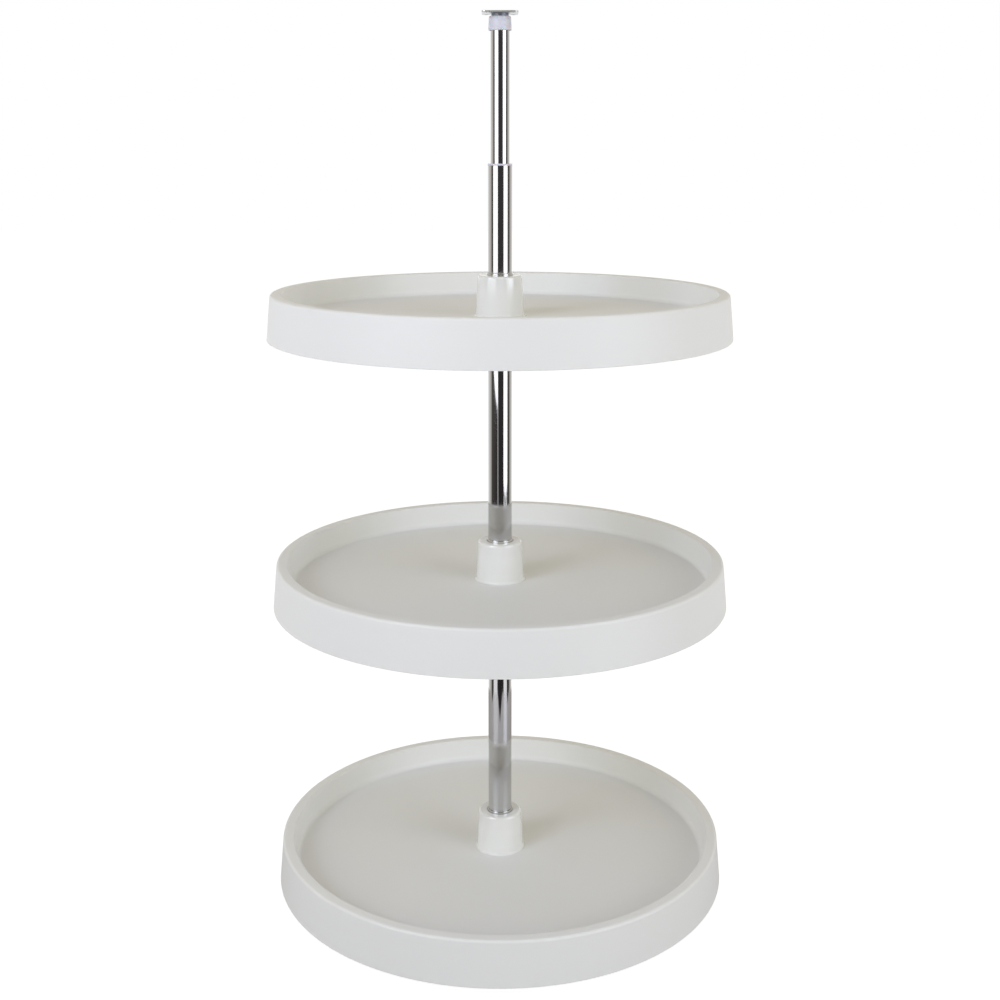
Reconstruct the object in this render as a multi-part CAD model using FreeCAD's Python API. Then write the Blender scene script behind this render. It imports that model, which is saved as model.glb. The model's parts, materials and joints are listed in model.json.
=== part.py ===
import FreeCAD, Part
import math
import os

# Full-round corner-cabinet tray stack: three moulded trays turn on a telescoping chromed shaft.
# The shaft stands on a pivot plate screwed to the cabinet floor and is held at the top by a
# second pivot plate screwed to the underside of the cabinet top.
# Lengths are millimetres and angles are degrees. Z is up, and the origin is the centre of the
# bottom plate's underside, on the axis that everything turns about.

# Heights
overall_height = 910.0        # bottom plate's underside to top plate's upper face
lower_tray_height = 38.0      # foot of each tray's skirt above the origin
middle_tray_height = 328.6
upper_tray_height = 598.0
lower_tube_top = 764.6
tube_overlap = 260.0          # length of the upper tube that is inside the lower tube

# Clearances
running_clearance = 0.05      # radial, between a shaft and what turns or slides on it
screw_tip_clearance = 0.1     # between a set screw's tip and the tube that it clamps

# Tray moulding
tray_diameter = 457.2
tray_depth = 44.0             # foot of the skirt to the top of the rim
tray_skin = 2.8               # wall thickness of the moulding
skirt_draft = 5.0
rim_width = 11.4
rim_outer_rounding = 3.0
rim_inner_rounding = 2.0
inner_wall_draft = 5.0
floor_height = 19.6           # upper face of the floor above the foot of the skirt
floor_rounding = 5.0

# Tray hub
hub_height = 60.0             # top of the hub above the foot of the skirt
hub_top_diameter = 43.6
hub_base_diameter = 48.0
hub_foot_rounding = 2.5
hub_edge_rounding = 2.4
hub_dish = 0.4                # fall of the hub's top face towards the shaft

# Ribs under the tray floor
rib_count = 12
rib_thickness = 1.8
rib_hub_height = 3.0          # lower edge of a rib at the hub, above the foot of the skirt
rib_rim_height = 9.0          # lower edge of a rib at the skirt
ring_rib_diameter = 230.0

# Bearings of each tray
ferrule_wall = 0.8
ferrule_length = 14.0
ferrule_stand = 2.2           # how far the ferrule stands above the dished hub top
ferrule_bevel = 0.6
bush_wall = 2.4
bush_length = 16.0            # length of the bush inside the hub
bush_flange_diameter = 38.0
bush_flange_thickness = 2.0
tray_washer_diameter = 38.0
tray_washer_thickness = 1.2

# Shaft collar that carries each tray
collar_diameter = 41.0
collar_width = 14.0
collar_bevel = 1.0
collar_screw_count = 2
collar_screw_pitch_angle = 90.0
collar_screw_diameter = 6.0
collar_screw_socket = 3.0     # across the flats

# Lower tube, its foot bushing and the guide sleeve in its mouth
lower_tube_diameter = 24.0
lower_tube_wall = 1.2
foot_flange_diameter = 30.0
foot_flange_thickness = 4.0
foot_plug_length = 25.0
sleeve_length = 30.0
sleeve_flange_thickness = 1.7
sleeve_flange_setback = 0.1   # how far the sleeve's flange stays inside the tube's outside

# Upper tube, its guide plug and the bushing on its top
upper_tube_diameter = 18.6
upper_tube_wall = 1.2
guide_flange_width = 12.0
guide_plug_length = 14.0
guide_bore_diameter = 9.0
top_bushing_height = 13.6
top_bushing_base_diameter = 22.4
top_bushing_top_diameter = 21.2
top_bushing_roof = 6.0        # thickness above the tube's end
top_bushing_bevel = 0.7

# Screw that locks the telescoping tubes, at the back of the lower tube
lock_screw_diameter = 5.0
lock_screw_drop = 16.0        # its centre below the mouth of the lower tube
lock_screw_stand = 1.6        # how far it stands out of the tube
lock_screw_socket = 2.5

# Bottom pivot plate, pin and washer
bottom_plate_side = 76.2
bottom_plate_thickness = 3.0
bottom_plate_corner = 8.0
bottom_screw_spacing = 57.0
bottom_screw_hole = 5.5
bottom_pin_diameter = 8.0
bottom_pin_height = 21.0      # top of the pin above the plate
bottom_pin_bevel = 1.0
pin_end_clearance = 3.0       # above the pin, inside the foot bushing
foot_washer_diameter = 22.0
foot_washer_thickness = 1.5

# Top pivot plate and stud
top_plate_side = 35.0
top_plate_thickness = 1.6
top_plate_corner = 3.5
top_screw_spacing = 25.6
top_screw_hole = 4.5
top_stud_boss_diameter = 16.6
top_stud_boss_height = 2.5
top_stud_rivet_diameter = 8.0
top_pin_diameter = 6.0
top_pin_length = 10.0
top_pin_bevel = 0.8

# Sizes that follow from the ones above
shaft_radius = lower_tube_diameter / 2
lower_tube_bore = shaft_radius - lower_tube_wall
upper_radius = upper_tube_diameter / 2
upper_tube_bore = upper_radius - upper_tube_wall
shaft_hole = shaft_radius + running_clearance
ferrule_radius = shaft_hole + ferrule_wall
bush_radius = shaft_hole + bush_wall
ferrule_seat = ferrule_length - ferrule_stand
bush_face = -bush_flange_thickness
washer_face = bush_face - tray_washer_thickness
foot_washer_top = bottom_plate_thickness + foot_washer_thickness
lower_tube_foot = foot_washer_top + foot_flange_thickness
upper_tube_foot = lower_tube_top - tube_overlap
plate_underside = overall_height - top_plate_thickness
bushing_top = plate_underside - top_stud_boss_height
bushing_foot = bushing_top - top_bushing_height
upper_tube_top = bushing_top - top_bushing_roof

origin = FreeCAD.Vector(0, 0, 0)
up = FreeCAD.Vector(0, 0, 1)
tray_heights = {"lower": lower_tray_height, "middle": middle_tray_height, "upper": upper_tray_height}


def section(corners):
    """Closed outline in the XZ plane through (radius, height, rounding) corners, rounded by true arcs."""
    points = [FreeCAD.Vector(radius, 0, height) for radius, height, rounding in corners]
    bends = []
    for index, (radius, height, rounding) in enumerate(corners):
        corner = points[index]
        back = (points[index - 1] - corner).normalize()
        ahead = (points[(index + 1) % len(points)] - corner).normalize()
        half_angle = back.getAngle(ahead) / 2
        reach = rounding / math.tan(half_angle)
        inward = (back + ahead).normalize() if rounding else origin
        middle = corner + inward * (rounding / math.sin(half_angle) - rounding)
        bends.append((corner + back * reach, middle, corner + ahead * reach))
    edges = []
    for index, (start, middle, end) in enumerate(bends):
        if corners[index][2]:
            edges.append(Part.Arc(start, middle, end).toShape())
        edges.append(Part.LineSegment(end, bends[(index + 1) % len(bends)][0]).toShape())
    return Part.Wire(edges)


def turned(face_or_corners):
    """Full revolve about the Z axis of a face, or of an outline given by its corners."""
    face = face_or_corners
    if isinstance(face_or_corners, list):
        face = Part.Face(section(face_or_corners))
    return face.revolve(origin, up, 360)


def ring(inner_radius, outer_radius, bottom, top, bevel=0):
    """Plain turned ring, with its two outer edges bevelled."""
    corners = [(inner_radius, bottom, 0), (outer_radius - bevel, bottom, 0)]
    if bevel:
        corners += [(outer_radius, bottom + bevel, 0), (outer_radius, top - bevel, 0)]
    corners += [(outer_radius - bevel, top, 0), (inner_radius, top, 0)]
    return turned(corners)


def lifted(shape, height):
    copy = shape.copy()
    copy.translate(up * height)
    return copy


def turned_by(shape, angle):
    copy = shape.copy()
    copy.rotate(origin, up, angle)
    return copy


def hexagon_prism(across_flats, length):
    """Hexagonal prism from the origin along +X."""
    corner_radius = across_flats / 2 / math.cos(math.radians(30))
    corners = []
    for step in range(7):
        angle = math.radians(60 * step)
        corners.append(FreeCAD.Vector(0, corner_radius * math.cos(angle), corner_radius * math.sin(angle)))
    return Part.Face(Part.makePolygon(corners)).extrude(FreeCAD.Vector(length, 0, 0))


def set_screw(diameter, tip, head, socket):
    """Headless screw along +X from its tip to its socket end, with a hexagonal socket half its length."""
    screw = Part.makeCylinder(diameter / 2, head - tip, FreeCAD.Vector(tip, 0, 0), FreeCAD.Vector(1, 0, 0))
    recess = hexagon_prism(socket, head - tip)
    recess.translate(FreeCAD.Vector((tip + head) / 2, 0, 0))
    return screw.cut(recess)


def square_plate(side, thickness, corner_radius, screw_spacing, screw_hole, centre_hole):
    """Round-cornered square plate on the XY plane, with four screw holes and a hole for its pivot."""
    plate = Part.makeBox(side, side, thickness, FreeCAD.Vector(-side / 2, -side / 2, 0))
    uprights = [edge for edge in plate.Edges if abs(edge.tangentAt(edge.FirstParameter).z) > 0.5]
    plate = plate.makeFillet(corner_radius, uprights)
    holes = [Part.makeCylinder(centre_hole / 2, thickness)]
    for x in (-screw_spacing / 2, screw_spacing / 2):
        for y in (-screw_spacing / 2, screw_spacing / 2):
            holes.append(Part.makeCylinder(screw_hole / 2, thickness, FreeCAD.Vector(x, y, 0)))
    return plate.cut(holes)


def tray_corners(foot, rounded):
    """Section of the tray's visible skin and hub bore, from its skirt's foot at the given height."""
    keep = 1 if rounded else 0
    skirt_lean = math.tan(math.radians(skirt_draft))
    rim_outer = tray_diameter / 2 - tray_depth * skirt_lean
    rim_inner = rim_outer - rim_width
    floor_edge = rim_inner - (tray_depth - floor_height) * math.tan(math.radians(inner_wall_draft))
    bore_top = hub_height - hub_dish
    return [
        (tray_diameter / 2 - foot * skirt_lean, foot, 0),
        (rim_outer, tray_depth, keep * rim_outer_rounding),
        (rim_inner, tray_depth, keep * rim_inner_rounding),
        (floor_edge, floor_height, keep * floor_rounding),
        (hub_base_diameter / 2, floor_height, keep * hub_foot_rounding),
        (hub_top_diameter / 2, hub_height, keep * hub_edge_rounding),
        (ferrule_radius, bore_top, 0),
        (ferrule_radius, bore_top - ferrule_seat, 0),
        (bush_radius, bore_top - ferrule_seat, 0),
        (bush_radius, foot, 0),
    ]


def tray_ribs():
    """Radial ribs from the hub's sleeve to the skirt, and a ring across them, all taller than the moulding."""
    half = rib_thickness / 2
    outer = tray_diameter / 2
    side_view = [
        FreeCAD.Vector(bush_radius, -half, rib_hub_height),
        FreeCAD.Vector(outer, -half, rib_rim_height),
        FreeCAD.Vector(outer, -half, hub_height),
        FreeCAD.Vector(bush_radius, -half, hub_height),
    ]
    rib = Part.Face(Part.makePolygon(side_view + side_view[:1])).extrude(FreeCAD.Vector(0, rib_thickness, 0))
    ribs = [turned_by(rib, 360 / rib_count * step) for step in range(rib_count)]
    ring_radius = ring_rib_diameter / 2
    return ribs + [ring(ring_radius - half, ring_radius + half, rib_rim_height, hub_height)]


def tray_moulding():
    """One thin skin forms the skirt, rim, floor, hub and the sleeve round the bore, open underneath and ribbed."""
    solid_form = turned(tray_corners(0, rounded=True))
    below = 3 * tray_skin
    sharp_face = Part.Face(section(tray_corners(-below, rounded=False)))
    hollow = turned(sharp_face.makeOffset2D(-tray_skin, 2))
    return solid_form.cut(hollow.cut(tray_ribs()))


def tray_ferrule():
    """Bright steel ring pressed into the top of the hub, standing slightly proud round the shaft."""
    top = hub_height - hub_dish + ferrule_stand
    return ring(shaft_hole, ferrule_radius, top - ferrule_length, top, ferrule_bevel)


def tray_bush():
    """Flanged bush pressed into the foot of the hub's sleeve; its flange bears on the thrust washer."""
    return turned([
        (shaft_hole, bush_face, 0),
        (bush_flange_diameter / 2, bush_face, 0),
        (bush_flange_diameter / 2, 0, 0),
        (bush_radius, 0, 0),
        (bush_radius, bush_length, 0),
        (shaft_hole, bush_length, 0),
    ])


def collar_screw_angles():
    first = -90 - collar_screw_pitch_angle * (collar_screw_count - 1) / 2
    return [first + collar_screw_pitch_angle * step for step in range(collar_screw_count)]


def collar_screws():
    """Set screws flush with the collar, their tips just off the shaft."""
    middle = washer_face - collar_width / 2
    tip = shaft_radius + screw_tip_clearance
    screw = lifted(set_screw(collar_screw_diameter, tip, collar_diameter / 2, collar_screw_socket), middle)
    rim = Part.makeCylinder(collar_diameter / 2, collar_width, up * (middle - collar_width / 2))
    return [turned_by(screw, angle).common(rim) for angle in collar_screw_angles()]


def shaft_collar():
    """Bevelled collar under the washer, with a threaded hole for each set screw."""
    collar = ring(shaft_hole, collar_diameter / 2, washer_face - collar_width, washer_face, collar_bevel)
    middle = up * (washer_face - collar_width / 2)
    hole = Part.makeCylinder(collar_screw_diameter / 2, collar_diameter, middle, FreeCAD.Vector(1, 0, 0))
    return collar.cut([turned_by(hole, angle) for angle in collar_screw_angles()])


def lock_screw_hole():
    """Cylinder along +Y through the back of the lower tube, as wide as the locking screw."""
    centre = up * (lower_tube_top - lock_screw_drop)
    return Part.makeCylinder(lock_screw_diameter / 2, lower_tube_diameter, centre, FreeCAD.Vector(0, 1, 0))


def lower_tube():
    return ring(lower_tube_bore, shaft_radius, lower_tube_foot, lower_tube_top).cut(lock_screw_hole())


def guide_sleeve():
    """Sleeve inside the lower tube's mouth that the upper tube slides in, with a thin flange on the tube's end."""
    slide_hole = upper_radius + running_clearance
    flange_radius = shaft_radius - sleeve_flange_setback
    sleeve = turned([
        (slide_hole, lower_tube_top - sleeve_length, 0),
        (lower_tube_bore, lower_tube_top - sleeve_length, 0),
        (lower_tube_bore, lower_tube_top, 0),
        (flange_radius, lower_tube_top, 0),
        (flange_radius, lower_tube_top + sleeve_flange_thickness, 0),
        (slide_hole, lower_tube_top + sleeve_flange_thickness, 0),
    ])
    return sleeve.cut(lock_screw_hole())


def lock_screw():
    tip = upper_radius + screw_tip_clearance
    screw = set_screw(lock_screw_diameter, tip, shaft_radius + lock_screw_stand, lock_screw_socket)
    return lifted(turned_by(screw, 90), lower_tube_top - lock_screw_drop)


def foot_bushing():
    """Flanged plug in the foot of the lower tube, with a blind bore that turns on the bottom pin."""
    pin_hole = bottom_pin_diameter / 2 + running_clearance
    bore_end = bottom_plate_thickness + bottom_pin_height + pin_end_clearance
    return turned([
        (pin_hole, foot_washer_top, 0),
        (foot_flange_diameter / 2, foot_washer_top, 0),
        (foot_flange_diameter / 2, lower_tube_foot, 0),
        (lower_tube_bore, lower_tube_foot, 0),
        (lower_tube_bore, lower_tube_foot + foot_plug_length, 0),
        (0, lower_tube_foot + foot_plug_length, 0),
        (0, bore_end, 0),
        (pin_hole, bore_end, 0),
    ])


def guide_plug():
    """Plug in the foot of the upper tube; its flange runs in the lower tube."""
    flange_radius = lower_tube_bore - running_clearance
    return turned([
        (guide_bore_diameter / 2, upper_tube_foot - guide_flange_width, 0),
        (flange_radius, upper_tube_foot - guide_flange_width, 0),
        (flange_radius, upper_tube_foot, 0),
        (upper_tube_bore, upper_tube_foot, 0),
        (upper_tube_bore, upper_tube_foot + guide_plug_length, 0),
        (guide_bore_diameter / 2, upper_tube_foot + guide_plug_length, 0),
    ])


def top_bushing():
    """Tapered cap over the upper tube's end; the top pin turns in its roof and ends inside the tube."""
    pin_hole = top_pin_diameter / 2 + running_clearance
    base_radius = top_bushing_base_diameter / 2
    top_radius = top_bushing_top_diameter / 2
    return turned([
        (pin_hole, upper_tube_top, 0),
        (upper_radius, upper_tube_top, 0),
        (upper_radius, bushing_foot, 0),
        (base_radius - top_bushing_bevel, bushing_foot, 0),
        (base_radius, bushing_foot + top_bushing_bevel, 0),
        (top_radius, bushing_top - top_bushing_bevel, 0),
        (top_radius - top_bushing_bevel, bushing_top, 0),
        (pin_hole, bushing_top, 0),
    ])


def bottom_pin():
    """Pivot pin riveted into the bottom plate, flush with its underside."""
    radius = bottom_pin_diameter / 2
    top = bottom_plate_thickness + bottom_pin_height
    return turned([
        (0, 0, 0),
        (radius, 0, 0),
        (radius, top - bottom_pin_bevel, 0),
        (radius - bottom_pin_bevel, top, 0),
        (0, top, 0),
    ])


def top_stud():
    """Stud riveted flush into the top plate: a boss that bears on the bushing and a pin that turns in it."""
    radius = top_pin_diameter / 2
    tip = bushing_top - top_pin_length
    return turned([
        (0, tip, 0),
        (radius - top_pin_bevel, tip, 0),
        (radius, tip + top_pin_bevel, 0),
        (radius, bushing_top, 0),
        (top_stud_boss_diameter / 2, bushing_top, 0),
        (top_stud_boss_diameter / 2, plate_underside, 0),
        (top_stud_rivet_diameter / 2, plate_underside, 0),
        (top_stud_rivet_diameter / 2, overall_height, 0),
        (0, overall_height, 0),
    ])


def bottom_plate():
    return square_plate(
        bottom_plate_side, bottom_plate_thickness, bottom_plate_corner,
        bottom_screw_spacing, bottom_screw_hole, bottom_pin_diameter,
    )


def top_plate():
    plate = square_plate(
        top_plate_side, top_plate_thickness, top_plate_corner,
        top_screw_spacing, top_screw_hole, top_stud_rivet_diameter,
    )
    return lifted(plate, plate_underside)


pieces = {
    "bottom_plate": bottom_plate(),
    "bottom_pivot_pin": bottom_pin(),
    "bottom_thrust_washer": ring(
        bottom_pin_diameter / 2 + running_clearance, foot_washer_diameter / 2,
        bottom_plate_thickness, foot_washer_top,
    ),
    "foot_bushing": foot_bushing(),
    "lower_tube": lower_tube(),
    "guide_sleeve": guide_sleeve(),
    "telescope_lock_screw": lock_screw(),
    "upper_tube": ring(upper_tube_bore, upper_radius, upper_tube_foot, upper_tube_top),
    "guide_plug": guide_plug(),
    "top_bushing": top_bushing(),
    "top_pivot_stud": top_stud(),
    "top_plate": top_plate(),
}

tray_set = {
    "tray": tray_moulding(),
    "hub_ferrule": tray_ferrule(),
    "hub_bush": tray_bush(),
    "thrust_washer": ring(shaft_hole, tray_washer_diameter / 2, washer_face, bush_face),
    "shaft_collar": shaft_collar(),
    "collar_screws": Part.makeCompound(collar_screws()),
}
for level, height in tray_heights.items():
    for name, shape in tray_set.items():
        pieces[f"{level}_{name}"] = lifted(shape, height)

os.makedirs("parts", exist_ok=True)
for name, shape in pieces.items():
    shape.exportStep(f"parts/{name}.step")
    print(f"{name}: {len(shape.Solids)} solid, {shape.Volume / 1000:.2f} cm3, valid {shape.isValid()}")
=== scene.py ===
import json
import math

import bmesh
import bpy
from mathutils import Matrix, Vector


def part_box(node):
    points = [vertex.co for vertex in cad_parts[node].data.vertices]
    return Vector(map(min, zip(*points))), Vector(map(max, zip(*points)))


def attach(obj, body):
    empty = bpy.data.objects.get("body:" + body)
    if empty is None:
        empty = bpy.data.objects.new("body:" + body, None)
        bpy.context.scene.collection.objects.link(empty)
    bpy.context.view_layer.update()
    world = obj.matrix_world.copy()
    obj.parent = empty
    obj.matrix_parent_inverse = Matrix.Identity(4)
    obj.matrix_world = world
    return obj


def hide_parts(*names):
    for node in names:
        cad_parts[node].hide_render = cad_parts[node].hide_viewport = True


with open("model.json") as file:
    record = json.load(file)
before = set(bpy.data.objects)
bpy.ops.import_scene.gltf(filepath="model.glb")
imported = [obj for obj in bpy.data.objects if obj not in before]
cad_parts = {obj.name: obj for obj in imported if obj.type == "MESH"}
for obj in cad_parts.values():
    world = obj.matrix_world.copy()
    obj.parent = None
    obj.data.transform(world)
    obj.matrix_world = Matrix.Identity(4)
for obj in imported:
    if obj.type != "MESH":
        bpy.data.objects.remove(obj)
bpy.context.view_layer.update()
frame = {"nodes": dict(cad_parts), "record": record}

# Lengths are metres and angles are degrees. Z is up, and the shaft stands on the origin.
MM = 0.001
TRAY_LEVELS = ("lower", "middle", "upper")

# Camera at the photograph's viewing angle
CAMERA_DISTANCE = 1.3892
CAMERA_HEIGHT = 0.7820
CAMERA_TILT = 9.16            # below the horizontal
CAMERA_LENS = 50.84           # millimetres, as is the sensor's width
CAMERA_SENSOR = 36
CAMERA_SHIFT = -0.125

# Tray moulding, as in the part's own section
TRAY_DEPTH = 44 * MM
TRAY_SKIN = 2.8 * MM
SKIRT_DRAFT = 5
RIM_WIDTH = 11.4 * MM
RIM_OUTER_ROUNDING = 3 * MM
RIM_INNER_ROUNDING = 2 * MM
INNER_WALL_DRAFT = 5
FLOOR_HEIGHT = 19.6 * MM
FLOOR_ROUNDING = 5 * MM
HUB_TOP_RADIUS = 21.8 * MM
HUB_BASE_RADIUS = 24 * MM
HUB_FOOT_ROUNDING = 2.5 * MM
HUB_EDGE_ROUNDING = 2.4 * MM
HUB_DISH = 0.4 * MM
FERRULE_SEAT_ROUNDING = 0.15 * MM
RIB_COUNT = 12
RIB_THICKNESS = 1.8 * MM
RIB_HUB_HEIGHT = 3 * MM
RIB_RIM_HEIGHT = 9 * MM
RING_RIB_RADIUS = 115 * MM
MOULDED_EDGE = 0.5 * MM       # rounding of the moulding's small edges
MOULDED_CORNER = 0.8 * MM     # and of the corners inside its skin

# Turned and punched metal
RUNNING_CLEARANCE = 0.05 * MM
BUSH_WALL = 2.4 * MM
SHAFT_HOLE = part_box("lower_tube")[1].x + RUNNING_CLEARANCE
BUSH_RADIUS = SHAFT_HOLE + BUSH_WALL
FERRULE_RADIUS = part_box("lower_hub_ferrule")[1].x
TUBE_WALL = 1.2 * MM

# Widths of softened edges
TURNED_EDGE = 0.25 * MM
FERRULE_EDGE = 0.6 * MM
PUNCHED_EDGE = 0.3 * MM
BUSHING_EDGE = 0.3 * MM
SMALL_EDGE = 0.2 * MM
FINE_EDGE = 0.15 * MM
SCREW_EDGE = 0.12 * MM

# Meshes
STEPS_ROUND_TRAY = 288
STEPS_ROUND_SHAFT = 128
STEPS_OF_MOULDED_ROUNDING = 6
STEPS_OF_TURNED_EDGE = 3
STEPS_OF_ROLLED_EDGE = 2
FOLD_SHADED_SHARP = 35
FOLD_ROLLED_OVER = 40
FOLD_TAKEN_AS_FLAT = 0.5
SPUN_WELD = 1e-7
NODE_WELD = 1e-6

# The two tones between which each finish drifts
TONES = {
    "tray_polymer": ((0.799, 0.801, 0.793, 1), (0.819, 0.821, 0.813, 1)),
    "chrome": ((0.600, 0.602, 0.615, 1), (0.640, 0.640, 0.648, 1)),
    "nylon": ((0.62, 0.62, 0.71, 1), (0.70, 0.70, 0.78, 1)),
    "zinc_steel": ((0.58, 0.59, 0.61, 1), (0.70, 0.71, 0.72, 1)),
    "stud_steel": ((0.27, 0.29, 0.33, 1), (0.35, 0.37, 0.41, 1)),
    "screw_steel": ((0.035, 0.036, 0.04, 1), (0.16, 0.16, 0.17, 1)),
}
# Painted shade, darkening the hub's top in the seam round the ferrule
FERRULE_SEAT_PAINTED_SHADE = (0.30, 0.30, 0.29, 1)

# Studio. A heading is measured round the shaft from the camera's side, positive towards +X.
WHITE = (1, 1, 1, 1)
BLACK = (0, 0, 0, 1)
NEUTRAL = (0.99, 1.0, 1.03)
COOL = (0.86, 1.0, 1.46)

# Each softbox: left and right ends, as a heading and a distance, then foot, top, radiance and colour
SOFTBOXES = {
    "left_softbox": ((-66, 2.24), (-21, 1.57), 0.24, 2.2, 1.7, NEUTRAL),
    "left_softbox_lamp": ((-57, 2.03), (-35, 2.03), 1.10, 1.9, 3.75, COOL),
    "right_softbox": ((34, 1.97), (75, 1.97), -0.025, 2.2, 1.7, NEUTRAL),
    "right_softbox_lamp": ((44, 2.03), (66, 2.03), 0.20, 1.1, 1.1, COOL),
}
# Each card that only metal sees, for a softbox's stand or its glare in the floor: as above, without a colour
GLARE_CARDS = {
    "left_stand": ((-24, 2.0), (-16, 2.0), -0.1, 0.25, 0.5),
    "left_glare": ((-65, 2.0), (-26, 2.0), -1.6, -0.25, 1.05),
    "right_glare": ((36, 2.0), (71, 2.0), -1.6, -0.06, 1.05),
}

# The room round the horizon, from the camera's side (0) to the backdrop (1), evenly by the heading's cosine
BACKDROP = (-0.12, 0.99, 0)
ROOM_STOPS = [
    (0.0, (0.050, 0.046, 0.047, 1)), (0.43, (0.12, 0.11, 0.10, 1)), (0.525, (0.15, 0.14, 0.125, 1)),
    (0.56, (0.55, 0.52, 0.48, 1)), (0.63, (0.64, 0.61, 0.57, 1)), (0.76, (0.73, 0.71, 0.67, 1)),
    (0.88, (0.96, 0.95, 0.93, 1)), (1.0, (1.15, 1.15, 1.15, 1)),
]
# Cosine of the heading from the backdrop, over which the front gives way to the back
BACK_RANGE = (-0.1, 0.5)
# Sines of the elevation over which each band of the room gives way to the next, and the bands' tones
DOWN_RANGE = (-0.05, -0.32)
ABOVE_RANGE = (0.09, 0.16)
HIGH_RANGE = (0.4, 0.6)
CEILING_RANGE = (0.75, 0.9)
DOWN_DARKENING = 0.5
FRONT_ABOVE = (0.80, 0.78, 0.58, 1)
FRONT_HIGH = (0.02, 0.02, 0.02, 1)
BACK_ABOVE = (0.74, 0.69, 0.60, 1)
BACK_HIGH = (0.56, 0.50, 0.31, 1)
CEILING = (0.56, 0.53, 0.52, 1)

# The floor: white to the camera, and a pale table as the pieces see it
FLOOR_WIDTH = 24
FLOOR_SHADE = (0.25, 0.25, 0.25, 1)
FLOOR_GLOW = 0.93
TABLE_LIT = (0.50, 0.49, 0.53, 1)
TABLE_MIRRORED = (0.60, 0.59, 0.635, 1)
TABLE_ROUGHNESS = 0.22
# How far the mirrored table reaches, by heading from straight in front (0) to straight behind (1)
TABLE_EDGE = [(0.0, 0.470), (0.12, 0.575), (0.38, 0.575), (0.455, 0.535), (0.53, 0.575), (1.0, 0.575)]
TABLE_EDGE_BLUR = 0.015


class Signal:
    """A value in a shader: arithmetic on it adds Math nodes."""

    def __init__(self, shader, socket):
        self.shader = shader
        self.socket = socket

    def math(self, operation, *others):
        values = dict(enumerate((self,) + others))
        return self.shader.node("Math", {"operation": operation}, values)

    def __add__(self, other):
        return self.math("ADD", other)

    def __sub__(self, other):
        return self.math("SUBTRACT", other)

    def __rsub__(self, other):
        return (self * -1).math("ADD", other)

    def __mul__(self, other):
        return self.math("MULTIPLY", other)

    def __truediv__(self, other):
        return self.math("DIVIDE", other)

    __radd__ = __add__
    __rmul__ = __mul__


def set_stops(ramp, stops):
    """Gives a new colour ramp its stops, each a position and a colour."""
    for position, colour in stops[1:-1]:
        ramp.elements.new(position).color = colour
    ends = (ramp.elements[0], stops[0]), (ramp.elements[-1], stops[-1])
    for element, (position, colour) in ends:
        element.position = position
        element.color = colour


class Shader:
    """The node tree of a new material or world, built up node by node."""

    def __init__(self, owner):
        owner.use_nodes = True
        self.owner = owner
        self.tree = owner.node_tree
        self.tree.nodes.clear()

    def feed(self, socket, value):
        if isinstance(value, Signal):
            self.tree.links.new(value.socket, socket)
        else:
            socket.default_value = value

    def node(self, kind, settings=None, values=None, output=0):
        """Adds a node, sets it up, feeds its sockets and gives one of its outputs."""
        made = self.tree.nodes.new("ShaderNode" + kind)
        for name, value in (settings or {}).items():
            if name == "stops":
                set_stops(made.color_ramp, value)
            else:
                setattr(made, name, value)
        for name, value in (values or {}).items():
            self.feed(made.inputs[name], value)
        return Signal(self, made.outputs[output]) if made.outputs else None

    def blend(self, factor, first, second):
        """Mixes two colours."""
        return self.node("Mix", {"data_type": "RGBA"}, {0: factor, 6: first, 7: second}, output=2)

    def smooth_step(self, value, start, end):
        """Goes smoothly from 0, where the value is at the start, to 1 at the end."""
        values = {"Value": value, "From Min": start, "From Max": end}
        return self.node("MapRange", {"interpolation_type": "SMOOTHSTEP"}, values)

    def vector(self, operation, *vectors, output="Vector"):
        return self.node("VectorMath", {"operation": operation}, dict(enumerate(vectors)), output)

    def length(self, vector):
        return self.vector("LENGTH", vector, output="Value")

    def part(self, vector, axis):
        return self.node("SeparateXYZ", None, {0: vector}, output=axis)

    def place(self, scale=(1, 1, 1)):
        """Object coordinates, stretched by the given scale."""
        here = self.node("TexCoord", output="Object")
        return self.node("Mapping", None, {"Vector": here, "Scale": scale})

    def noise(self, where, scale, detail=2.0, roughness=0.5):
        values = {"Vector": where, "Scale": scale, "Detail": detail, "Roughness": roughness}
        return self.node("TexNoise", None, values, output="Fac")

    def bump(self, height, depth, under=None):
        """Normal of a relief whose height signal runs from 0 to 1 over the given depth."""
        values = {"Height": height, "Distance": depth, "Strength": 1.0}
        if under:
            values["Normal"] = under
        return self.node("Bump", None, values, output="Normal")

    def ray(self, kind):
        """1 for rays of one kind, else 0."""
        return self.node("LightPath", output=f"Is {kind} Ray")

    def seen_directly(self):
        """1 for rays from the camera, also through something clear, else 0."""
        return self.ray("Camera") + self.ray("Transmission")

    def glow(self, strength):
        return self.node("Emission", None, {"Color": WHITE, "Strength": strength})

    def output(self, surface, kind="Material"):
        self.node("Output" + kind, None, {"Surface": surface})


class Finish(Shader):
    """A new material with a Principled shader: some sockets are constant, and others vary."""

    def __init__(self, name, constants):
        super().__init__(bpy.data.materials.new(name))
        surface = self.node("BsdfPrincipled", None, constants)
        self.output(surface)
        self.principled = surface.socket.node
        self.tones = TONES[name]

    def vary(self, socket, value):
        self.feed(self.principled.inputs[socket], value)

    def toned(self, pattern):
        """Colour between the finish's two tones, by a pattern that runs from 0 to 1."""
        return self.blend(pattern, *self.tones)


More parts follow.
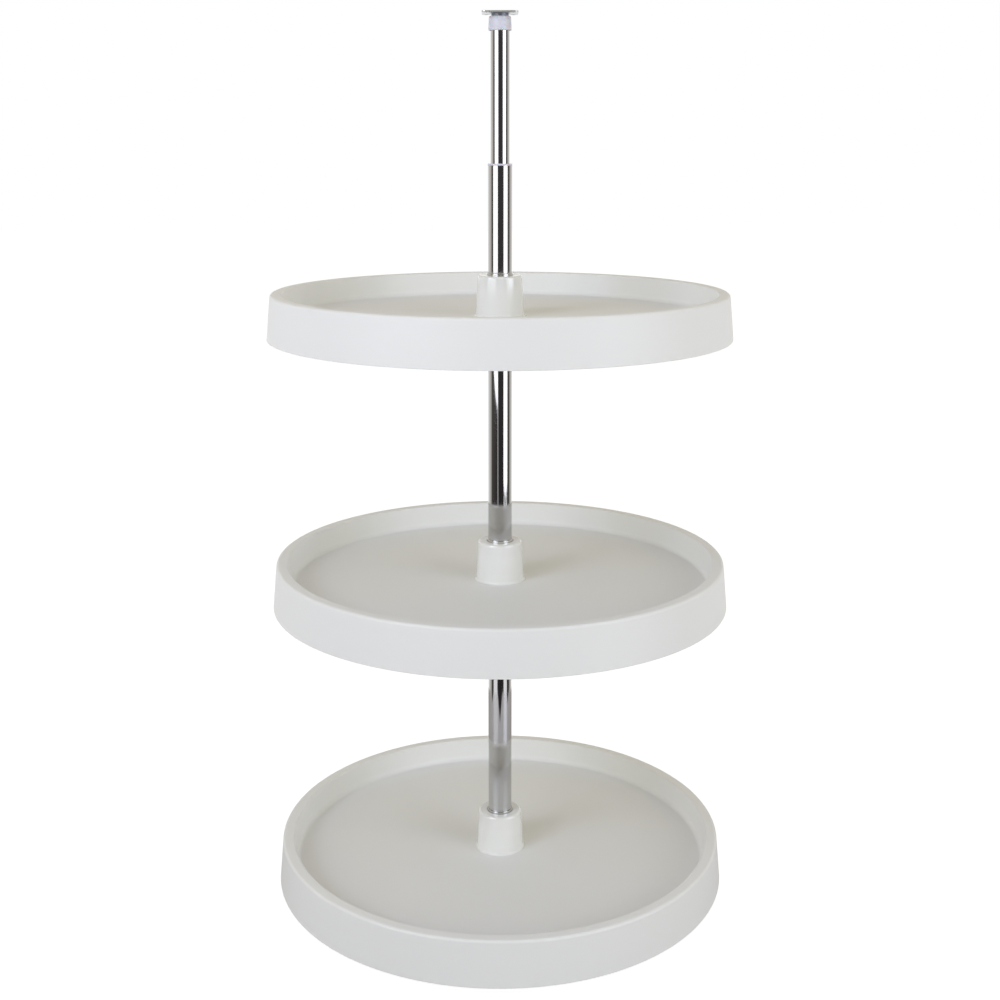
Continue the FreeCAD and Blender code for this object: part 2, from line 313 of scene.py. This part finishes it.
def tray_polymer():
    """White moulded polymer: satin, with the mould's fine grain, a faint drift in tone and painted shade on
    the hub's top round the ferrule.
    """
    finish = Finish("tray_polymer", {"IOR": 1.49, "Coat IOR": 1.8, "Coat Roughness": 0.06})
    here = finish.place()
    from_axis = finish.length(finish.place((1, 1, 0)))
    colour = finish.toned(finish.noise(here, scale=9.0, detail=3.0))
    # Painted shade: a dark line on the hub's top in the seam round the ferrule
    ferrule_painted_shade = finish.smooth_step(from_axis, FERRULE_RADIUS + 1.6 * MM, FERRULE_RADIUS + 0.2 * MM)
    finish.vary("Base Color", finish.blend(ferrule_painted_shade * 0.7, colour, FERRULE_SEAT_PAINTED_SHADE))
    # The hub's top is smooth, and the tray round it is textured
    grain = finish.noise(here, scale=1400.0)
    blotch = finish.noise(here, scale=60.0, detail=4.0)
    textured = finish.smooth_step(from_axis, HUB_TOP_RADIUS, HUB_BASE_RADIUS + 8 * MM)
    finish.vary("Roughness", 0.06 + textured * 0.37 + blotch * 0.05 + grain * 0.04)
    # Polished band round the hub's top edge, fading down its wall and in across its top
    down_the_wall = finish.smooth_step(from_axis, HUB_TOP_RADIUS + 1 * MM, HUB_TOP_RADIUS)
    across_the_top = finish.smooth_step(from_axis, HUB_TOP_RADIUS - 1.8 * MM, HUB_TOP_RADIUS - 0.3 * MM)
    finish.vary("Coat Weight", down_the_wall * across_the_top * 0.8)
    waves = finish.bump(finish.noise(here, scale=35.0), 0.10 * MM)
    finish.vary("Normal", finish.bump(grain, 0.012 * MM, waves))
    return finish.owner


def chrome():
    """Bright chrome plate on drawn tube, with hairline polishing marks along it."""
    finish = Finish("chrome", {"Metallic": 1.0})
    haze = finish.noise(finish.place(), scale=40.0, detail=3.0)
    hairlines = finish.noise(finish.place((1, 1, 0.02)), scale=2200.0)
    finish.vary("Base Color", finish.toned(haze))
    finish.vary("Roughness", 0.035 + haze * 0.03 + hairlines * 0.02)
    finish.vary("Normal", finish.bump(hairlines, 0.0003 * MM))
    return finish.owner


def nylon():
    """Natural nylon: milky, cool white and satin."""
    finish = Finish("nylon", {"IOR": 1.53, "Subsurface Weight": 0.2, "Subsurface Scale": 2 * MM})
    here = finish.place()
    grain = finish.noise(here, scale=2500.0)
    finish.vary("Base Color", finish.toned(finish.noise(here, scale=120.0, detail=3.0)))
    finish.vary("Roughness", 0.38 + grain * 0.12)
    finish.vary("Normal", finish.bump(grain, 0.01 * MM))
    return finish.owner


def zinc_steel():
    """Zinc-plated steel: rolled grain, slightly blue, with soft blotches."""
    finish = Finish("zinc_steel", {"Metallic": 1.0})
    blotch = finish.noise(finish.place(), scale=150.0, detail=4.0, roughness=0.6)
    rolled = finish.noise(finish.place((1, 0.03, 1)), scale=3000.0, detail=3.0)
    finish.vary("Base Color", finish.toned(blotch))
    finish.vary("Roughness", 0.26 + blotch * 0.16 + rolled * 0.08)
    finish.vary("Normal", finish.bump(rolled, 0.004 * MM))
    return finish.owner


def stud_steel():
    """Dark turned steel, oiled, with the rings that the tool leaves."""
    finish = Finish("stud_steel", {"Metallic": 1.0})
    stain = finish.noise(finish.place(), scale=220.0, detail=4.0, roughness=0.6)
    rings = finish.noise(finish.place((0.05, 0.05, 1)), scale=6000.0)
    finish.vary("Base Color", finish.toned(stain))
    finish.vary("Roughness", 0.42 + stain * 0.15)
    finish.vary("Normal", finish.bump(rings, 0.004 * MM))
    return finish.owner


def screw_steel():
    """Black-oxide steel screws, worn lighter in patches."""
    finish = Finish("screw_steel", {"Metallic": 1.0})
    wear = finish.noise(finish.place(), scale=700.0, detail=4.0, roughness=0.6)
    worn = finish.smooth_step(wear, 0.5, 0.72)
    finish.vary("Base Color", finish.toned(worn))
    finish.vary("Roughness", 0.42 - worn * 0.14)
    finish.vary("Normal", finish.bump(wear, 0.01 * MM))
    return finish.owner


finish_makers = (tray_polymer, chrome, nylon, zinc_steel, stud_steel, screw_steel)
finishes = {maker.__name__: maker() for maker in finish_makers}


def mesh_of(bm, name):
    """Turns a bmesh into a mesh, and frees it."""
    mesh = bpy.data.meshes.new(name)
    bm.to_mesh(mesh)
    bm.free()
    return mesh


def added(name, data):
    """New object in the scene, with the given data."""
    made = bpy.data.objects.new(name, data)
    bpy.context.scene.collection.objects.link(made)
    return made


def body_of(node):
    """The body that carries a node."""
    bodies = frame["record"]["behaviour"]["bodies"]
    return next(name for name, nodes in bodies.items() if node in nodes)


def piece(name, bm, finish, body, *nodes):
    """Makes a bmesh into a smooth-shaded piece that rides on a body and stands for the given nodes."""
    mesh = mesh_of(bm, name)
    mesh.shade_smooth()
    mesh.set_sharp_from_angle(angle=math.radians(FOLD_SHADED_SHARP))
    mesh.materials.append(finishes[finish])
    made = added(name, mesh)
    even_flats = made.modifiers.new("even_flats", "WEIGHTED_NORMAL")
    even_flats.keep_sharp = True
    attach(made, body)
    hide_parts(*nodes)


def spun(corners, steps, rounding_steps=STEPS_OF_MOULDED_ROUNDING):
    """Full turn about Z of a closed outline of (radius, height, rounding) corners."""
    bm = bmesh.new()
    points = [Vector((radius, 0, height)) for radius, height, _ in corners]
    verts = [bm.verts.new(point) for point in points]
    bm.faces.new(verts)
    for index, (_, _, rounding) in enumerate(corners):
        if rounding:
            back = points[index - 1] - points[index]
            ahead = points[(index + 1) % len(points)] - points[index]
            reach = rounding / math.tan(back.angle(ahead) / 2)
            bmesh.ops.bevel(
                bm, geom=[verts[index]], offset=reach, segments=rounding_steps, profile=0.5,
                affect="VERTICES", material=-1, clamp_overlap=False,
            )
    bmesh.ops.delete(bm, geom=bm.faces[:], context="FACES_ONLY")
    bmesh.ops.spin(
        bm, geom=bm.verts[:] + bm.edges[:], axis=(0, 0, 1), angle=2 * math.pi, steps=steps, use_merge=True,
    )
    bmesh.ops.remove_doubles(bm, verts=bm.verts, dist=SPUN_WELD)
    bmesh.ops.recalc_face_normals(bm, faces=bm.faces)
    return bm


def ring(bore, radius, low, high, edge, steps):
    """Plain ring about Z between two heights, with its edges rounded."""
    corners = [(bore, low, edge), (radius, low, edge), (radius, high, edge), (bore, high, edge)]
    return spun(corners, steps, STEPS_OF_TURNED_EDGE)


def inset(corners, distance):
    """The same corners, unrounded, moved inwards by one distance from both of their sides."""
    points = [Vector((radius, height)) for radius, height, _ in corners]
    moved = []
    for index, point in enumerate(points):
        back = (point - points[index - 1]).normalized()
        ahead = (points[(index + 1) % len(points)] - point).normalized()
        inward = Vector((-back.y, back.x)) + Vector((-ahead.y, ahead.x))
        moved.append(point + inward * distance / (1 + back.dot(ahead)))
    return moved


def joined(target, tool, operation):
    """Boolean of two bmeshes, as a new bmesh; both are used up."""
    operands = [added("scratch", mesh_of(bm, "scratch")) for bm in (target, tool)]
    boolean = operands[0].modifiers.new("boolean", "BOOLEAN")
    boolean.operation = operation
    boolean.solver = "EXACT"
    boolean.object = operands[1]
    result = bmesh.new()
    result.from_object(operands[0], bpy.context.evaluated_depsgraph_get())
    for operand in operands:
        mesh = operand.data
        bpy.data.objects.remove(operand)
        bpy.data.meshes.remove(mesh)
    return result


def tray_corners(foot):
    """Outside of the tray's section from the given foot height, as (radius, height, rounding) corners."""
    low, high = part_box("lower_tray")
    outer = high.x
    hub_height = high.z - low.z
    ferrule_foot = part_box("lower_hub_ferrule")[0].z - low.z
    skirt_lean = math.tan(math.radians(SKIRT_DRAFT))
    rim_outer = outer - TRAY_DEPTH * skirt_lean
    rim_inner = rim_outer - RIM_WIDTH
    floor_edge = rim_inner - (TRAY_DEPTH - FLOOR_HEIGHT) * math.tan(math.radians(INNER_WALL_DRAFT))
    return [
        (outer - foot * skirt_lean, foot, MOULDED_EDGE),
        (rim_outer, TRAY_DEPTH, RIM_OUTER_ROUNDING),
        (rim_inner, TRAY_DEPTH, RIM_INNER_ROUNDING),
        (floor_edge, FLOOR_HEIGHT, FLOOR_ROUNDING),
        (HUB_BASE_RADIUS, FLOOR_HEIGHT, HUB_FOOT_ROUNDING),
        (HUB_TOP_RADIUS, hub_height, HUB_EDGE_ROUNDING),
        (FERRULE_RADIUS, hub_height - HUB_DISH, FERRULE_SEAT_ROUNDING),
        (FERRULE_RADIUS, ferrule_foot, 0),
        (BUSH_RADIUS, ferrule_foot, 0),
        (BUSH_RADIUS, foot, 0),
    ]


def rib_blank():
    """Radial blades and a ring, taller than the moulding and reaching as far as its skirt's foot."""
    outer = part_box("lower_tray")[1].x
    top = TRAY_DEPTH * 2
    half = RIB_THICKNESS / 2
    side = [(BUSH_RADIUS, RIB_HUB_HEIGHT), (outer, RIB_RIM_HEIGHT), (outer, top), (BUSH_RADIUS, top)]
    bm = bmesh.new()
    blade = bm.faces.new([bm.verts.new((radius, -half, height)) for radius, height in side])
    grown = bmesh.ops.extrude_face_region(bm, geom=[blade])["geom"]
    moved = [item for item in grown if isinstance(item, bmesh.types.BMVert)]
    bmesh.ops.translate(bm, verts=moved, vec=(0, RIB_THICKNESS, 0))
    bmesh.ops.spin(
        bm, geom=bm.verts[:] + bm.edges[:] + bm.faces[:], axis=(0, 0, 1),
        angle=2 * math.pi * (RIB_COUNT - 1) / RIB_COUNT, steps=RIB_COUNT - 1, use_duplicate=True,
    )
    bmesh.ops.recalc_face_normals(bm, faces=bm.faces)
    ring_rib = ring(RING_RIB_RADIUS - half, RING_RIB_RADIUS + half, RIB_RIM_HEIGHT, top, 0, STEPS_ROUND_TRAY)
    return joined(bm, ring_rib, "UNION")


def at_foot(below, above):
    """Where the line between two points crosses height 0."""
    return below.lerp(above, below.y / (below.y - above.y))


def tray_moulding():
    """Tray with its foot at height 0: one drafted skin forms skirt, rim, floor and hub; ribs stiffen it."""
    extended = tray_corners(-3 * TRAY_SKIN)
    hollow = inset(extended, TRAY_SKIN)
    inside = [at_foot(hollow[-1], hollow[-2])] + hollow[-2:0:-1] + [at_foot(hollow[0], hollow[1])]
    section = tray_corners(0) + [
        (point.x, point.y, MOULDED_CORNER if 0 < point.y else MOULDED_EDGE) for point in inside
    ]
    shell = spun(section, STEPS_ROUND_TRAY)
    # The ribs run up to the middle of the skin
    core = [(point.x, point.y, 0) for point in inset(extended, TRAY_SKIN / 2)]
    ribs = joined(spun(core, STEPS_ROUND_TRAY), rib_blank(), "INTERSECT")
    return joined(shell, ribs, "UNION")


def raised(bm, height):
    """A copy of a bmesh, higher up."""
    copy = bm.copy()
    bmesh.ops.translate(copy, verts=copy.verts, vec=(0, 0, height))
    return copy


def turned(node, finish, bore, edge=TURNED_EDGE):
    """Plain turned ring in place of a node, from its box, with softened edges."""
    low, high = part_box(node)
    bm = ring(bore, high.x, low.z, high.z, edge, STEPS_ROUND_SHAFT)
    piece(f"{node}_turned", bm, finish, body_of(node), node)


def softened(node, finish, edge=PUNCHED_EDGE):
    """Merged copy of a node with its sharp edges rolled over."""
    bm = bmesh.new()
    bm.from_mesh(frame["nodes"][node].data)
    bmesh.ops.remove_doubles(bm, verts=bm.verts, dist=NODE_WELD)
    flat = math.radians(FOLD_TAKEN_AS_FLAT)
    bmesh.ops.dissolve_limit(bm, angle_limit=flat, verts=bm.verts, edges=bm.edges)
    fold = math.radians(FOLD_ROLLED_OVER)
    sharp = [one for one in bm.edges if one.is_manifold and one.calc_face_angle() > fold]
    bmesh.ops.bevel(
        bm, geom=sharp, offset=edge, segments=STEPS_OF_ROLLED_EDGE, profile=0.5, affect="EDGES", material=-1,
    )
    piece(f"{node}_softened", bm, finish, body_of(node), node)


moulding = tray_moulding()
for level in TRAY_LEVELS:
    tray = f"{level}_tray"
    piece(f"{tray}_moulding", raised(moulding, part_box(tray)[0].z), "tray_polymer", body_of(tray), tray)
moulding.free()

for level in TRAY_LEVELS:
    turned(f"{level}_hub_ferrule", "chrome", SHAFT_HOLE, FERRULE_EDGE)
    turned(f"{level}_thrust_washer", "zinc_steel", SHAFT_HOLE, SMALL_EDGE)
for tube in ("lower_tube", "upper_tube"):
    turned(tube, "chrome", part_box(tube)[1].x - TUBE_WALL)

for level in TRAY_LEVELS:
    softened(f"{level}_shaft_collar", "zinc_steel", SMALL_EDGE)
    softened(f"{level}_collar_screws", "screw_steel", SCREW_EDGE)
    softened(f"{level}_hub_bush", "nylon", SMALL_EDGE)
softened("bottom_plate", "zinc_steel")
softened("bottom_pivot_pin", "zinc_steel", FINE_EDGE)
softened("bottom_thrust_washer", "zinc_steel", FINE_EDGE)
softened("foot_bushing", "nylon", BUSHING_EDGE)
softened("guide_sleeve", "nylon", FINE_EDGE)
softened("guide_plug", "nylon", FINE_EDGE)
softened("telescope_lock_screw", "screw_steel", SCREW_EDGE)
softened("top_bushing", "nylon", SMALL_EDGE)
softened("top_plate", "zinc_steel")
softened("top_pivot_stud", "stud_steel", FINE_EDGE)


def standing(name, data, left, right, low, high):
    """Stands a lamp or a card upright between two ends, facing the shaft; returns it with its width."""
    ends = []
    for heading, distance in (left, right):
        angle = math.radians(heading)
        ends.append(Vector((distance * math.sin(angle), -distance * math.cos(angle), (low + high) / 2)))
    across = ends[1] - ends[0]
    made = added(name, data)
    made.location = (ends[0] + ends[1]) / 2
    made.rotation_euler = (math.radians(90), 0, math.atan2(across.y, across.x))
    made.visible_camera = False
    return made, across.length


def softbox(name, left, right, low, high, radiance, colour):
    light = bpy.data.lights.new(name, "AREA")
    _, width = standing(name, light, left, right, low, high)
    light.shape = "RECTANGLE"
    light.size = width
    light.size_y = high - low
    light.energy = radiance * math.pi * width * (high - low)
    light.color = colour


def fill_rectangle(mesh, width, depth):
    """Fills a mesh with one flat rectangle about its origin."""
    bm = bmesh.new()
    bmesh.ops.create_grid(bm, x_segments=1, y_segments=1, size=0.5)
    bmesh.ops.scale(bm, verts=bm.verts, vec=(width, depth, 1))
    bm.to_mesh(mesh)
    bm.free()


def glare_card(name, left, right, low, high, radiance):
    mesh = bpy.data.meshes.new(name)
    card, width = standing(name, mesh, left, right, low, high)
    fill_rectangle(mesh, width, high - low)
    card.visible_diffuse = False
    card.visible_shadow = False
    shader = Shader(bpy.data.materials.new(name))
    mesh.materials.append(shader.owner)
    shader.output(shader.glow(radiance))


def studio_world():
    """Dark room towards the camera, white backdrop behind the object, and a soft warm glow from above."""
    world = bpy.data.worlds.new("studio")
    bpy.context.scene.world = world
    shader = Shader(world)
    direction = shader.node("TexCoord", output="Generated")
    height = shader.part(direction, "Z")
    heading = shader.vector("NORMALIZE", shader.vector("MULTIPLY", direction, (1, 1, 0)))
    away = shader.vector("DOT_PRODUCT", heading, BACKDROP, output="Value")
    behind = shader.smooth_step(away, *BACK_RANGE)
    level = shader.node("ValToRGB", {"stops": ROOM_STOPS}, {"Fac": away * 0.5 + 0.5})
    # Towards the camera and down, the room is darker
    under = shader.smooth_step(height, *DOWN_RANGE) * (1 - behind)
    low = shader.blend(under * DOWN_DARKENING, level, BLACK)
    above = shader.blend(behind, FRONT_ABOVE, BACK_ABOVE)
    high = shader.blend(behind, FRONT_HIGH, BACK_HIGH)
    walls = shader.blend(shader.smooth_step(height, *ABOVE_RANGE), low, above)
    walls = shader.blend(shader.smooth_step(height, *HIGH_RANGE), walls, high)
    room = shader.blend(shader.smooth_step(height, *CEILING_RANGE), walls, CEILING)
    shown = shader.blend(shader.seen_directly(), room, WHITE)
    surface = shader.node("Background", None, {"Color": shown, "Strength": 1.0})
    shader.output(surface, "World")


def studio_floor():
    """White to the camera apart from the object's faint shadow; metal mirrors a pale table with an edge."""
    mesh = bpy.data.meshes.new("studio_floor")
    fill_rectangle(mesh, FLOOR_WIDTH, FLOOR_WIDTH)
    floor = added("studio_floor", mesh)
    shader = Shader(bpy.data.materials.new("studio_floor"))
    mesh.materials.append(shader.owner)
    here = shader.node("TexCoord", output="Object")
    along = shader.part(here, "Y")
    across = shader.part(here, "X")
    heading = across.math("ABSOLUTE").math("ARCTAN2", along * -1) / math.pi
    stops = [(at, (radius, radius, radius, 1)) for at, radius in TABLE_EDGE]
    edge = shader.node("ValToRGB", {"stops": stops}, {"Fac": heading})
    beyond = shader.smooth_step(shader.length(here) - edge, 0.0, TABLE_EDGE_BLUR)
    glossy = shader.ray("Glossy")
    paint = shader.blend(glossy, TABLE_LIT, TABLE_MIRRORED)
    table = shader.node("BsdfPrincipled", None, {"Base Color": paint, "Roughness": TABLE_ROUGHNESS})
    clear = shader.node("BsdfTransparent")
    seen_by_pieces = shader.node("MixShader", None, {0: glossy * beyond, 1: table, 2: clear})
    shade = shader.node("BsdfDiffuse", None, {"Color": FLOOR_SHADE})
    white = shader.node("AddShader", None, {0: shade, 1: shader.glow(FLOOR_GLOW)})
    surface = shader.node("MixShader", None, {0: shader.seen_directly(), 1: seen_by_pieces, 2: white})
    shader.output(surface)


def photograph_camera():
    lens = bpy.data.cameras.new("camera")
    lens.lens = CAMERA_LENS
    lens.sensor_width = CAMERA_SENSOR
    lens.shift_y = CAMERA_SHIFT
    camera = added("camera", lens)
    camera.location = (0, -CAMERA_DISTANCE, CAMERA_HEIGHT)
    camera.rotation_euler = (math.radians(90 - CAMERA_TILT), 0, 0)
    bpy.context.scene.camera = camera


for name, setting in SOFTBOXES.items():
    softbox(name, *setting)
for name, setting in GLARE_CARDS.items():
    glare_card(name, *setting)
studio_world()
studio_floor()
photograph_camera()
bpy.context.scene.view_settings.view_transform = "Standard"
